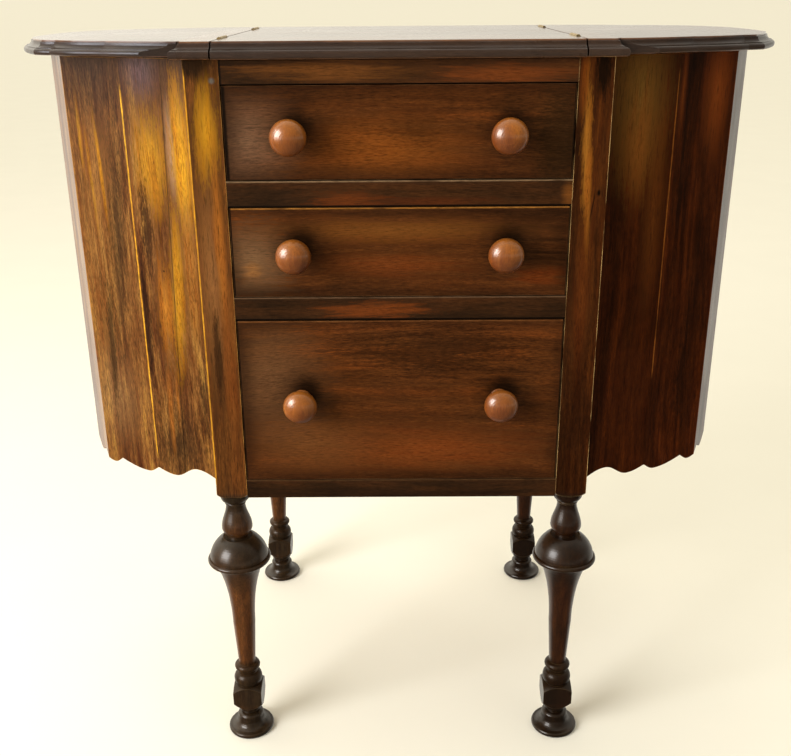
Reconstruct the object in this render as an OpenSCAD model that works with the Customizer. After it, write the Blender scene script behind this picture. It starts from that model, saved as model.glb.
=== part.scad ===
// Sewing cabinet: a three-drawer chest on four turned legs, with a faceted
// bin on each side under a hinged lid that has a lobed, moulded edge.
// Millimetres. The floor is z = 0, the front faces -Y, left is -X.

/* [Chest] */
// Width over the corner posts
chest_w = 373; // [320:1:440]
// Depth over the corner posts
chest_d = 348.5; // [300:0.5:400]
// Side of the square corner posts
post = 31; // [26:0.5:36]
// Height of the bottom rail
rail_bottom_h = 19.7; // [14:0.1:30]
// Height of the rail between the lower two drawers
rail_lower_h = 22.2; // [16:0.1:30]
// Height of the rail between the upper two drawers
rail_upper_h = 23.3; // [16:0.1:30]
// Height of the rail under the top
rail_top_h = 21.1; // [16:0.1:30]
// How far the posts' square part reaches below the bottom rail
post_reveal = 0.5; // [0.4:0.1:6]
// Thickness of the chest's side boards
side_t = 12; // [8:0.5:15]
// Distance from a side board's outer face to the outer face of the posts
side_inset = 9.5; // [4:0.5:12]
// Thickness of the back panel
back_t = 9; // [6:0.5:14]
// Distance from the back panel to the rear face of the posts
back_inset = 6; // [2:0.5:12]
// Height of the drawer runners under the drawer
runner_h = 15; // [10:0.5:19]
// Width of the drawer runners under the drawer's side
runner_w = 15; // [12:0.5:24]
// Height of the guide strip that stands on the runner
guide_h = 12; // [6:0.5:20]

/* [Drawers] */
// Opening height of the upper drawer
drawer_1_h = 83.6; // [60:0.1:110]
// Opening height of the middle drawer
drawer_2_h = 85.2; // [60:0.1:110]
// Opening height of the deep lower drawer
drawer_3_h = 168.6; // [130:0.1:200]
// Gap round a drawer front
drawer_gap = 1; // [0.6:0.1:2]
// Space between a closed drawer and the back panel
drawer_rear_gap = 21.5; // [5:0.5:80]
// Thickness of the drawer fronts
front_t = 18; // [14:0.5:22]
// Thickness of the drawer sides and backs
box_t = 10; // [8:0.5:13]
// Thickness of the drawer bottoms
bottom_t = 5; // [3:0.5:8]
// Height of a drawer's bottom above the lower edge of its sides
bottom_rise = 6; // [4:0.5:10]
// Depth of the grooves that hold the drawer bottoms
groove_d = 4; // [2:0.5:6]
// How far the drawer sides stand in from the ends of the front
side_ease = 0.5; // [0:0.1:2]
// Gap between a drawer side and its guide
guide_gap = 0.5; // [0.3:0.1:1.2]
// Gap between a drawer and the runner below it
run_gap = 0.3; // [0.2:0.05:0.8]
// How far the sides stop below the top of the opening
side_drop = 3; // [2:0.5:8]
// How far the back stops below the sides
back_drop = 8; // [4:0.5:16]

/* [Knobs] */
// Radius of the knob head
knob_r = 16.15; // [12:0.05:19]
// How far a knob stands out from the drawer face
knob_out = 33.5; // [27:0.5:40]
// Depth of the knob head along its axis
knob_head = 22.5; // [17:0.5:24]
// Radius of the knob's neck
knob_neck_r = 6.5; // [5.5:0.1:8]
// Radius of the knob's base ring
knob_base_r = 9.5; // [8.5:0.1:13]
// Radius of the spigot in the drawer front
spigot_r = 5; // [3:0.1:5.4]
// Length of the spigot
spigot_l = 16; // [8:0.5:18]
// Radial clearance of the spigot
spigot_gap = 0.05; // [0.01:0.01:0.1]
// Distance of each knob from the end of the drawer front
knob_in = 58.8; // [40:0.1:90]
// Height of the upper drawer's knobs over its middle
knob_lift_1 = -1; // [-10:0.1:10]
// Height of the middle drawer's knobs over its middle
knob_lift_2 = 1.7; // [-10:0.1:10]
// Height of the lower drawer's knobs over its middle
knob_lift_3 = 4.5; // [-20:0.1:20]

/* [Turned leg] */
// Radius of the foot disc
foot_r = 25; // [20:0.1:30]
// Height of the foot disc
foot_h = 5; // [3:0.1:8]
// Height of the dished flare over the foot disc
foot_flare_h = 9; // [5:0.1:12]
// Radius of the upper tier of the foot
foot_tier_r = 14; // [12:0.1:18]
// Height of the upper tier of the foot
foot_tier_h = 4.5; // [3:0.1:8]
// Radius of the ankle
ankle_r = 9; // [7:0.1:11]
// Height of the ankle
ankle_h = 6; // [4:0.1:9]
// Height of the round swelling under the square block
knop_h = 6.5; // [4:0.1:14]
// Radius of that swelling
knop_r = 13.5; // [12:0.1:15]
// Height of each rounded shoulder under the block's corners
shoulder_low_h = 9.5; // [5:0.1:12]
// Height of the square block along its corners
block_h = 14; // [8:0.1:24]
// Height of each rounded shoulder over the block's corners
shoulder_up_h = 6.5; // [4:0.1:9]
// Height of the ovolo over the block
ovolo_h = 14; // [8:0.1:18]
// Largest radius of the ovolo
ovolo_r = 15.3; // [13.5:0.1:15.4]
// Depth of the ovolo's curve
ovolo_round = 6; // [4:0.1:7]
// Height of the fillet over the ovolo
fillet_h = 3; // [2:0.1:6]
// Radius of the collar bead
collar_r = 13.8; // [12.5:0.1:16]
// Height of the collar bead
collar_h = 7.4; // [6:0.1:10]
// Radius at the foot of the shaft
shaft_r = 9.3; // [8:0.1:10.5]
// Radius at the head of the shaft
shaft_top_r = 12; // [10.5:0.1:14]
// Height of the shaft
shaft_h = 53.4; // [40:0.1:100]
// Height of the trumpet over the shaft
trumpet_h = 77.2; // [50:0.1:90]
// Radius at the mouth of the trumpet
trumpet_r = 26.5; // [22:0.1:27]
// Radius of the bowl at its rim
bowl_r = 30; // [27.5:0.1:34]
// Radius of the bead round the bowl's rim
rim_bead_r = 2.8; // [2:0.1:3.5]
// Rise of the domed bowl over its rim
dome_rise = 26; // [18:0.1:30]
// Radius where the dome ends
dome_cut_r = 15.5; // [13:0.1:17]
// Depth of the sunk quirks between the mouldings
quirk_h = 1.2; // [0.8:0.1:2]
// Height of the sunk neck between the bowl and the pear
pear_gap_h = 3.5; // [1:0.1:6]
// Radius at the foot of the pear
pear_foot_r = 12; // [11:0.1:13.5]
// Largest radius of the pear
pear_r = 15.9; // [14:0.1:18]
// Height of the pear's widest place over its foot
pear_low_h = 7.7; // [6:0.1:14]
// Height of the pear over its widest place
pear_high_h = 26.7; // [14:0.1:34]
// Radius at the neck of the pear
pear_neck_r = 9.9; // [8:0.1:11]
// Height of the thin bead over the pear
neck_bead_h = 3.6; // [3:0.1:5]
// Radius of the cup under the post
cup_r = 15.2; // [13:0.1:15.3]
// Height of the cup
cup_h = 7; // [5:0.1:14]
// Height of the ring over the cup
ring_h = 2; // [1.6:0.1:6]
// Height of the rounded shoulders under the post's corners
shoulder_post_h = 5.5; // [3:0.1:8]

/* [Bins] */
// Where a bin's front face meets the post, from the front
bin_y0 = 16; // [12:0.5:18]
// Distance of the front ridge from the post
ridge_x = 65.5; // [55:0.5:75]
// Setback of the front ridge from the face at the post
ridge_y = 20.5; // [14:0.5:26]
// Distance of the front corner from the front ridge
corner_x = 59; // [50:0.5:70]
// Setback of the front corner from the front ridge
corner_y = 25.5; // [20:0.5:34]
// Distance of the end face from the front corner
end_x = 27; // [20:0.5:36]
// Setback of the end face from the front corner
end_y = 58; // [46:0.5:70]
// Thickness of the bin staves
stave_t = 9.5; // [7:0.5:12]
// Thickness of the bin floors
floor_t = 8; // [5:0.5:12]
// Height of the bin floors over the crests of the scalloped edge
floor_lift = 1.5; // [1:0.5:8]
// Height of the scalloped edge's lowest points over the bottom rail's edge
bin_rise = 10.5; // [4:0.5:16]
// Height of the arches in the scalloped edge
arch_h = 10; // [6:0.5:14]
// Height of the cusps at the ridges
ridge_cusp_h = 6; // [3:0.5:8]
// Height of the cusps near the corners
corner_cusp_h = 8.5; // [5:0.5:10]
// Height of the small lobes at the corners
small_lobe_h = 3; // [1:0.5:5]
// Length of the small lobes at the corners
small_lobe_l = 18; // [14:0.5:22]

/* [Top and lids] */
// Thickness of the middle top board
top_t = 14.7; // [13.5:0.1:18]
// Thickness of the lobed lid boards
lid_t = 12.7; // [12:0.1:13]
// How far the top's lip stands out over the posts
top_over = 11; // [8:0.5:14]
// How far the lids' lip stands out over the bins
lid_over = 23; // [18:0.5:28]
// Depth of the edge moulding, from the lip to the flat top
mould_d = 9; // [8:0.1:10]
// Height of the square edge over the moulding's cove
edge_fillet_h = 1.8; // [1:0.1:2.5]
// Radius of the moulding's cove
cove_r = 4.5; // [3:0.1:5]
// Height of the small step under the cove
edge_step_h = 0.8; // [0.4:0.1:1.2]
// Radius of the moulding's ovolo
edge_ovolo_r = 3; // [2:0.1:3.4]
// Radius of the lip's lower edge
lip_round = 2.4; // [1:0.1:2.5]
// How far each lobe of the edge bows out
lobe_bow = 3.2; // [1:0.1:4]
// How far the small lobe at a corner bows out
small_bow = 0.7; // [0.3:0.1:1.2]
// Length of the plain face cut across the inner end of a lid's edge
end_cut_l = 25; // [12:0.5:32]
// Distance from the hinge line to the outer face of the posts
hinge_inset = 26; // [22:0.5:27]
// Gap between the top and a lid
hinge_seam = 1.6; // [1.4:0.1:2.4]
// Width of the straight strip along the hinge
strip_w = 29.2; // [27:0.1:32]
// How far the strip's moulded end stands past its joint
ear_w = 5.5; // [4:0.1:7]
// Gap between a closed lid's strip and the posts
lid_gap = 0.3; // [0.2:0.05:0.5]

/* [Hinges] */
// Length of a butt hinge
hinge_l = 38; // [30:1:60]
// Height of a hinge leaf
leaf_h = 10; // [8:0.5:11]
// Thickness of a hinge leaf
leaf_t = 1.1; // [0.8:0.1:1.2]
// Radius of the hinge barrel
barrel_r = 2.1; // [2:0.1:2.4]
// Radius of the hinge pin
pin_r = 1; // [0.8:0.05:1.2]
// Radial clearance of the hinge pin
pin_gap = 0.05; // [0.02:0.01:0.1]
// Depth of the hinge axis below the top surface
axis_drop = 0.5; // [0.4:0.05:0.6]
// Distance of each hinge from the front and rear posts' outer faces
hinge_end = 62; // [45:1:90]

/* [Hidden] */

wood = [0.30, 0.11, 0.05];
wood_dark = [0.20, 0.07, 0.04];
wood_red = [0.42, 0.16, 0.08];
wood_pale = [0.62, 0.42, 0.24];
brass = [0.72, 0.55, 0.25];

// Half sizes of the chest
hx = chest_w / 2;
px = hx - post;
post_diag = post / 2 * sqrt(2) + 0.2;

// Heights along the leg, from the floor up
z_flare = foot_h;
z_tier = z_flare + foot_flare_h;
z_ankle = z_tier + foot_tier_h;
z_knop = z_ankle + ankle_h;
z_low = z_knop + knop_h;
z_block = z_low + shoulder_low_h;
z_up = z_block + block_h;
z_ovolo = z_up + shoulder_up_h;
z_fillet = z_ovolo + ovolo_h;
z_collar = z_fillet + fillet_h + quirk_h;
z_shaft = z_collar + collar_h;
z_trumpet = z_shaft + shaft_h;
z_rim = z_trumpet + trumpet_h + rim_bead_r;
z_dome = z_rim + dome_rise;
z_pear = z_dome + pear_gap_h;
z_pear_wide = z_pear + pear_low_h;
z_bead = z_pear_wide + pear_high_h;
z_cup = z_bead + neck_bead_h;
z_ring = z_cup + cup_h;
z_shoulder = z_ring + ring_h + quirk_h;
z_post = z_shoulder + shoulder_post_h;

// Levels of the chest
z_rail = z_shoulder + post_reveal;
z_open_3 = z_rail + rail_bottom_h;
z_rail_lower = z_open_3 + drawer_3_h;
z_open_2 = z_rail_lower + rail_lower_h;
z_rail_upper = z_open_2 + drawer_2_h;
z_open_1 = z_rail_upper + rail_upper_h;
z_rail_top = z_open_1 + drawer_1_h;
z_chest = z_rail_top + rail_top_h;
z_top = z_chest + top_t;
z_bin = z_rail + bin_rise;
z_floor = z_bin + arch_h + floor_lift;

// The part stands with the middle of its box over the origin
y_front_lip = -top_over;
y_rear_lip = chest_d + top_over;
y_rear = max(y_rear_lip, chest_d - post / 2 + bowl_r + rim_bead_r);
y_front = min(y_front_lip, -knob_out, post / 2 - bowl_r - rim_bead_r);
mid_y = (y_front + y_rear) / 2;
x_box = px - drawer_gap - side_ease;
knob_x = px - drawer_gap - knob_in;
drawer_l = chest_d - back_inset - back_t - drawer_rear_gap;

// Hinge line and the lid's joint between strip and lobed board
x_hinge = hx - hinge_inset;
x_strip = x_hinge + hinge_seam / 2;
x_joint = x_strip + strip_w;
z_axis = z_top - axis_drop;
hinge_y = [hinge_end, chest_d - hinge_end];

module placed() translate([0, -mid_y, 0]) children();
module on_side(side) mirror([side < 0 ? 1 : 0, 0, 0]) children();

// Points on an elliptical arc, from angle a0 to a1
function arc(cx, cy, rx, ry, a0, a1, n) =
    [for (i = [0 : n]) let (a = a0 + (a1 - a0) * i / n) [cx + rx * cos(a), cy + ry * sin(a)]];

// Half outline of a leg and its post, radius against height
dome_a = bowl_r + 0.7;
dome_b = dome_rise / sqrt(1 - pow(dome_cut_r / dome_a, 2));
trumpet_a = 60;
ovolo_a0 = -50;
ovolo_a1 = 75;
ovolo_b = ovolo_h / (sin(ovolo_a1) - sin(ovolo_a0));
ovolo_foot_r = ovolo_r - ovolo_round * (1 - cos(ovolo_a0));
ovolo_top_r = ovolo_r - ovolo_round * (1 - cos(ovolo_a1));
function leg_outline() = concat(
    [[0, 0]],
    arc(foot_r - 1.5, foot_h / 2, 1.5, foot_h / 2, -90, 90, 6),
    arc(foot_r - 1.5, z_tier, foot_r - 1.5 - foot_tier_r, foot_flare_h, 270, 180, 8),
    arc(ankle_r, z_ankle, foot_tier_r - ankle_r, ankle_h * 0.6, 0, 90, 6),
    arc(ankle_r, z_low, knop_r - ankle_r, knop_h, -90, 0, 8),
    [for (i = [1 : 5]) let (t = i / 5)
        [knop_r + (post_diag - knop_r) * t, z_low + shoulder_low_h * pow(t, 1.2)]],
    [for (i = [0 : 5]) let (t = i / 5)
        [post_diag - (post_diag - ovolo_foot_r) * t, z_up + shoulder_up_h * (1 - pow(1 - t, 1.4))]],
    arc(ovolo_r - ovolo_round, z_ovolo - ovolo_b * sin(ovolo_a0),
        ovolo_round, ovolo_b, ovolo_a0 + 4, ovolo_a1, 12),
    [[ovolo_top_r, z_collar - quirk_h], [shaft_r + 1, z_collar - quirk_h]],
    arc(collar_r - collar_h / 2, z_collar + collar_h / 2, collar_h / 2, collar_h / 2, -80, 80, 10),
    [[shaft_r, z_shaft + 0.6], [shaft_r, z_shaft + 6]],
    [for (i = [0 : 12]) let (a = trumpet_a * i / 12)
        [shaft_top_r + (trumpet_r - shaft_top_r) * (1 - cos(a)) / (1 - cos(trumpet_a)),
         z_trumpet + trumpet_h * sin(a) / sin(trumpet_a)]],
    arc(bowl_r, z_rim, rim_bead_r, rim_bead_r, -80, 88, 10),
    arc(0, z_rim, dome_a, dome_b, 8, acos(dome_cut_r / dome_a), 12),
    [[pear_foot_r - 1.5, z_dome], [pear_foot_r - 1.5, z_pear]],
    [for (i = [0 : 6]) let (a = 90 * i / 6)
        [pear_foot_r + (pear_r - pear_foot_r) * sin(a), z_pear + pear_low_h * i / 6]],
    [for (i = [1 : 10]) let (t = i / 10)
        [pear_neck_r + (pear_r - pear_neck_r) * (1 + cos(180 * t)) / 2, z_pear_wide + pear_high_h * t]],
    arc(pear_neck_r, z_bead + neck_bead_h / 2, 1, neck_bead_h / 2 - 0.4, -90, 90, 6),
    arc(pear_neck_r, z_ring, cup_r - pear_neck_r, cup_h, -90, 0, 7),
    [[cup_r, z_shoulder - quirk_h], [cup_r - 1.2, z_shoulder - quirk_h], [cup_r - 1.2, z_shoulder]],
    arc(post / 2 - 0.4, z_post, post_diag - post / 2 + 0.4, shoulder_post_h, -90, 0, 6),
    [[post_diag, z_chest], [0, z_chest]]
);

// Corner post and turned leg in one piece, with its axis on the origin
module post_leg() {
    mid_ankle = z_knop - ankle_h * 0.2;
    mid_fillet = z_fillet + fillet_h / 2;
    mid_ring = z_ring + ring_h / 2;
    wide = bowl_r + foot_r;
    intersection() {
        rotate_extrude($fn = 96) polygon(leg_outline());
        union() {
            translate([-wide, -wide, 0]) cube([2 * wide, 2 * wide, mid_ankle]);
            translate([-post / 2, -post / 2, 0]) cube([post, post, z_chest]);
            translate([-wide, -wide, mid_fillet]) cube([2 * wide, 2 * wide, mid_ring - mid_fillet]);
        }
    }
}

module post_at(sx, rear) {
    placed()
        translate([sx * (hx - post / 2), rear ? chest_d - post / 2 : post / 2, 0])
            post_leg();
}

// A front rail between the posts
module rail_at(z, h) {
    placed() translate([-px, 0, z]) cube([2 * px, post, h]);
}

module side_at(side) {
    placed() on_side(side)
        translate([hx - side_inset - side_t, post, z_rail])
            cube([side_t, chest_d - 2 * post, z_chest - z_rail]);
}

// L-shaped drawer runner: the drawer's side runs on the foot, along the guide
module runner_at(side, z) {
    wall = hx - side_inset - side_t;
    placed() on_side(side)
        translate([0, chest_d - post, z]) rotate([90, 0, 0])
            linear_extrude(chest_d - 2 * post)
                polygon([
                    [px - runner_w, -runner_h], [wall, -runner_h], [wall, guide_h],
                    [x_box + guide_gap, guide_h],
                    [x_box + guide_gap, 0], [px - runner_w, 0]
                ]);
}

// Plan of a bin, right side: outer corners from the front post to the rear post
bin_plan = [
    [hx, bin_y0],
    [hx + ridge_x, bin_y0 + ridge_y],
    [hx + ridge_x + corner_x, bin_y0 + ridge_y + corner_y],
    [hx + ridge_x + corner_x + end_x, bin_y0 + ridge_y + corner_y + end_y],
    [hx + ridge_x + corner_x + end_x, chest_d - bin_y0 - ridge_y - corner_y - end_y],
    [hx + ridge_x + corner_x, chest_d - bin_y0 - ridge_y - corner_y],
    [hx + ridge_x, chest_d - bin_y0 - ridge_y],
    [hx, chest_d - bin_y0]
];

function unit(v) = v / norm(v);
function outward(a, b) = let (u = unit(b - a)) [u[1], -u[0]];
function mitre(n, m) = (n + m) / (1 + n * m);
// Corner i of a plan moved outward by d, the two ends along the line x = x_end
function moved(plan, i, d, x_end) =
    let (last = len(plan) - 1)
    i == 0 ? on_line(plan[0] + d * outward(plan[0], plan[1]), plan[1] - plan[0], x_end) :
    i == last
        ? on_line(plan[last] + d * outward(plan[last - 1], plan[last]), plan[last] - plan[last - 1], x_end) :
    plan[i] + d * mitre(outward(plan[i - 1], plan[i]), outward(plan[i], plan[i + 1]));
function on_line(p, v, x) = [x, p[1] + v[1] * (x - p[0]) / v[0]];

bin_inner = [for (i = [0 : 7]) moved(bin_plan, i, -stave_t, hx)];

// Shape of the scalloped edge between two stations [place, height, sharp]
function ease(t, a, b) =
    a && b ? t : a ? sin(90 * t) : b ? 1 - cos(90 * t) : (1 - cos(180 * t)) / 2;
function swing(p, q, n) =
    [for (i = [0 : n - 1]) [p[0] + (q[0] - p[0]) * i / n, p[1] + (q[1] - p[1]) * ease(i / n, p[2], q[2])]];
function scallop(stations, n) = concat(
    [for (k = [0 : len(stations) - 2])
        each swing(stations[k], stations[k + 1], stations[k][2] && stations[k + 1][2] ? 1 : n)],
    [[stations[len(stations) - 1][0], stations[len(stations) - 1][1]]]
);
// The cusp at a ridge is level over the width of the mitre there
ridge_turn = acos(outward(bin_plan[0], bin_plan[1]) * outward(bin_plan[1], bin_plan[2]));
ridge_flat = stave_t * tan(ridge_turn / 2) + 0.3;
// Stations of each facet along its length l, counted from the post to the end
function facet_inner(l) =
    [[0, 0, true], [0.36 * l, arch_h, false], [0.7 * l, 0, false],
     [l - ridge_flat, ridge_cusp_h, true], [l, ridge_cusp_h, true]];
function facet_outer(l) =
    [[0, ridge_cusp_h, true], [ridge_flat, ridge_cusp_h, true],
     [0.2 * l, 0, false], [l - small_lobe_l, corner_cusp_h, true],
     [l - small_lobe_l * 0.48, small_lobe_h, false], [l, ridge_cusp_h, true]];
function facet_side(l) =
    [[0, ridge_cusp_h, true], [0.24 * l, arch_h, false], [0.62 * l, 0, false], [l, ridge_cusp_h, true]];
function facet_end(l) =
    [[0, ridge_cusp_h, true], [0.2 * l, 0, false], [0.5 * l, arch_h, false],
     [0.8 * l, 0, false], [l, ridge_cusp_h, true]];
function reversed(s, l) = [for (i = [len(s) - 1 : -1 : 0]) [l - s[i][0], s[i][1], s[i][2]]];
function facet_stations(k, l) =
    k == 0 ? facet_inner(l) : k == 1 ? facet_outer(l) : k == 2 ? facet_side(l) :
    k == 3 ? facet_end(l) : k == 4 ? reversed(facet_side(l), l) :
    k == 5 ? reversed(facet_outer(l), l) : reversed(facet_inner(l), l);

// Takes the scallops out of the lower edge of facet k
module scallop_cut(k) {
    a = bin_plan[k];
    v = bin_plan[k + 1] - a;
    l = norm(v);
    edge = scallop(facet_stations(k, l), 8);
    translate([a[0], a[1], z_bin]) rotate([90, 0, atan2(v[1], v[0])])
        translate([0, 0, -stave_t - 3])
            linear_extrude(stave_t + 5)
                polygon(concat([[-6, -5], [-6, edge[0][1]]], edge,
                               [[l + 6, edge[len(edge) - 1][1]], [l + 6, -5]]));
}

// Stave of the right bin over facet k, mitred to its neighbours
module stave(k) {
    difference() {
        translate([0, 0, z_bin - 1])
            linear_extrude(z_chest - z_bin + 1)
                polygon([bin_plan[k], bin_plan[k + 1], bin_inner[k + 1], bin_inner[k]]);
        scallop_cut(k);
    }
}

module staves(k0, k1) {
    difference() {
        for (k = [k0 : k1]) stave(k);
        for (k = [k0 + 1 : 1 : k1]) ridge_cut(k);
    }
}

// Levels the cusp where two facets meet at corner k
module ridge_cut(k) {
    m = mitre(outward(bin_plan[k - 1], bin_plan[k]), outward(bin_plan[k], bin_plan[k + 1]));
    translate([bin_plan[k][0], bin_plan[k][1], z_bin - 5])
        rotate([0, 0, atan2(m[1], m[0])])
            translate([-stave_t - 3, -0.25, 0]) cube([stave_t + 6, 0.5, ridge_cusp_h + 5.05]);
}

module bin_staves(side, k0, k1) {
    placed() on_side(side) staves(k0, k1);
}

module bin_floor(side) {
    wall = hx - side_inset;
    placed() on_side(side)
        translate([0, 0, z_floor])
            linear_extrude(floor_t)
                polygon(concat(bin_inner,
                               [[hx, chest_d - post], [wall, chest_d - post], [wall, post], [hx, post]]));
}

// Edge moulding as [distance in from the lip, depth below the top], for thickness t
d_ovolo = edge_fillet_h + cove_r + edge_step_h;
function edge_outline(t) = concat(
    [[mould_d, 0], [mould_d, edge_fillet_h]],
    arc(edge_ovolo_r, edge_fillet_h, cove_r, cove_r, 0, 90, 8),
    [[edge_ovolo_r, d_ovolo]],
    [for (i = [0 : 6]) let (a = 15 * i) [edge_ovolo_r * (1 - sin(a)), d_ovolo + edge_ovolo_r * (1 - cos(a))]],
    [for (i = [0 : 5]) let (a = 18 * i) [lip_round * (1 - cos(a)), t - lip_round * (1 - sin(a))]]
);

// Cross-section of a board with the moulding on its front and rear edges
module board_section(t) {
    e = edge_outline(t);
    n = len(e);
    polygon(concat(
        [for (p = e) [y_front_lip + p[0], z_top - p[1]]],
        [for (i = [n - 1 : -1 : 0]) [y_rear_lip - e[i][0], z_top - e[i][1]]]
    ));
}

module board_run(x0, x1, t) {
    translate([x0, 0, 0]) rotate([90, 0, 90]) linear_extrude(x1 - x0) board_section(t);
}

// Room for a hinge leaf and for the barrel in the edge of a board
module hinge_room(y, toward) {
    translate([x_hinge, y - hinge_l / 2 - 0.3, z_axis]) rotate([-90, 0, 0])
        cylinder(h = hinge_l + 0.6, r = barrel_r + 0.3, $fn = 48);
    translate([toward > 0 ? x_hinge : x_hinge - hinge_seam / 2 - leaf_t, y - hinge_l / 2, z_axis - leaf_h])
        cube([hinge_seam / 2 + leaf_t, hinge_l, leaf_h]);
}

module middle_top() {
    placed() difference() {
        board_run(-x_hinge + hinge_seam / 2, x_hinge - hinge_seam / 2, top_t);
        for (s = [-1, 1], y = hinge_y) on_side(s) hinge_room(y, -1);
    }
}

// Plan of the lobed lid board at its lip, right side
lid_core = [for (i = [0 : 7]) moved(bin_plan, i, lid_over, x_joint)];
lid_step = small_lobe_l * unit(lid_core[2] - lid_core[1]);
lid_step_rear = [lid_step[0], -lid_step[1]];
lid_plan = [
    lid_core[0], lid_core[1], lid_core[2] - lid_step, lid_core[2], lid_core[3],
    lid_core[4], lid_core[5], lid_core[5] - lid_step_rear, lid_core[6], lid_core[7]
];
lid_bow = [lobe_bow, lobe_bow, small_bow, lobe_bow, lobe_bow, lobe_bow, small_bow, lobe_bow, lobe_bow];
lid_in = [for (i = [0 : 9]) moved(lid_plan, i, -mould_d - 4, x_joint)];
lid_out = [for (i = [0 : 9]) moved(lid_plan, i, 6, x_joint)];

// One bowed lobe of the moulded edge, a slice of a large moulded disc
module lobe(i) {
    a = lid_plan[i];
    b = lid_plan[i + 1];
    c = norm(b - a);
    s = lid_bow[i];
    r = (c * c / 4 + s * s) / (2 * s);
    centre = (a + b) / 2 - (r - s) * outward(a, b);
    e = edge_outline(lid_t);
    intersection() {
        translate([centre[0], centre[1], z_top])
            rotate_extrude($fn = 180)
                polygon(concat([[0, 0]], [for (p = e) [r - p[0], -p[1]]], [[0, -lid_t]]));
        translate([0, 0, z_top - lid_t - 1])
            linear_extrude(lid_t + 2)
                polygon([lid_in[i], lid_out[i], lid_out[i + 1], lid_in[i + 1]]);
    }
}

// Plain upright face that trims the lip back to the strip
module end_cut() {
    u = unit(lid_plan[1] - lid_plan[0]);
    n = outward(lid_plan[0], lid_plan[1]);
    tip = lid_plan[0] - (mould_d + 0.6) * n;
    run = unit(lid_plan[0] + end_cut_l * u - tip);
    translate([0, 0, z_top - lid_t - 1])
        linear_extrude(lid_t + 2)
            polygon([
                tip - 6 * u, tip, tip + (end_cut_l + 12) * run,
                lid_plan[0] + (end_cut_l + 12) * u + 12 * n, lid_plan[0] + 12 * n - 6 * u
            ]);
}

module trimmed_lobe() {
    difference() {
        lobe(0);
        end_cut();
    }
}

module to_rear() translate([0, chest_d, 0]) mirror([0, 1, 0]) children();

module lobed_board() {
    difference() {
        union() {
            translate([0, 0, z_top - lid_t]) linear_extrude(lid_t) polygon(lid_in);
            for (i = [0 : 8]) lobe(i);
        }
        end_cut();
        to_rear() end_cut();
    }
}

module lid_board(side) {
    placed() on_side(side) lobed_board();
}

// Front end of the strip, with its moulding returned round the corner
ear_y = lid_core[0][1] + mould_d + 2.5;
module strip_ear(t) {
    e = edge_outline(t);
    x_lip = x_joint + ear_w;
    difference() {
        intersection() {
            board_run(x_strip, x_lip, t);
            translate([0, ear_y, 0]) rotate([90, 0, 0])
                linear_extrude(ear_y - y_front_lip + 1)
                    polygon(concat([[x_strip, z_top]],
                        [for (p = e) [x_lip - p[0], z_top - p[1]]], [[x_strip, z_top - t]]));
        }
        trimmed_lobe();
        translate([x_joint, lid_in[0][1] - 3, z_top - lid_t]) cube([ear_w + 2, 20, lid_t + 1]);
    }
}

module strip(t) {
    strip_ear(t);
    to_rear() strip_ear(t);
    intersection() {
        board_run(x_strip, x_joint, t);
        translate([x_strip - 1, ear_y, z_top - t - 1])
            cube([strip_w + 5, chest_d - 2 * ear_y, t + 2]);
    }
}

module lid_strip(side) {
    placed() on_side(side) difference() {
        strip(top_t - lid_gap);
        for (y = hinge_y) hinge_room(y, 1);
    }
}

// Butt hinge: two end knuckles and the pin stay on the top, the middle one moves
knuckle_gap = 0.2;
knuckle_l = (hinge_l - 2 * knuckle_gap) / 3;
module barrel(y0, l) {
    translate([x_hinge, y0, z_axis]) rotate([-90, 0, 0]) cylinder(h = l, r = barrel_r, $fn = 48);
}

module leaf(y, toward, y0, l) {
    x = toward > 0 ? x_hinge + hinge_seam / 2 : x_hinge - hinge_seam / 2 - leaf_t;
    translate([x, y - hinge_l / 2, z_axis - leaf_h])
        cube([leaf_t, hinge_l, leaf_h - barrel_r - 0.3]);
    translate([x, y0, z_axis - leaf_h])
        cube([leaf_t, l, leaf_h]);
}

module hinge_fixed(side, y) {
    y0 = y - hinge_l / 2;
    y1 = y + hinge_l / 2 - knuckle_l;
    placed() on_side(side) {
        for (k = [y0, y1]) {
            barrel(k, knuckle_l);
            leaf(y, -1, k, knuckle_l);
        }
        translate([x_hinge, y0, z_axis]) rotate([-90, 0, 0]) cylinder(h = hinge_l, r = pin_r, $fn = 32);
    }
}

module hinge_moving(side, y) {
    y0 = y - knuckle_l / 2;
    placed() on_side(side) difference() {
        union() {
            barrel(y0, knuckle_l);
            leaf(y, 1, y0, knuckle_l);
        }
        translate([x_hinge, y0 - 1, z_axis]) rotate([-90, 0, 0])
            cylinder(h = knuckle_l + 2, r = pin_r + pin_gap, $fn = 32);
    }
}

// Drawers: opening floor z, opening height h
module drawer_front(z, h, lift) {
    w = px - drawer_gap;
    placed() difference() {
        translate([-w, 0, z + drawer_gap]) cube([2 * w, front_t, h - 2 * drawer_gap]);
        for (s = [-1, 1])
            translate([s * knob_x, -1, z + h / 2 + lift]) rotate([-90, 0, 0])
                cylinder(h = front_t + 2, r = spigot_r + spigot_gap, $fn = 48);
        translate([-x_box + box_t - groove_d, front_t - groove_d, z + run_gap + bottom_rise])
            cube([2 * (x_box - box_t + groove_d), groove_d + 1, bottom_t]);
    }
}

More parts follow.
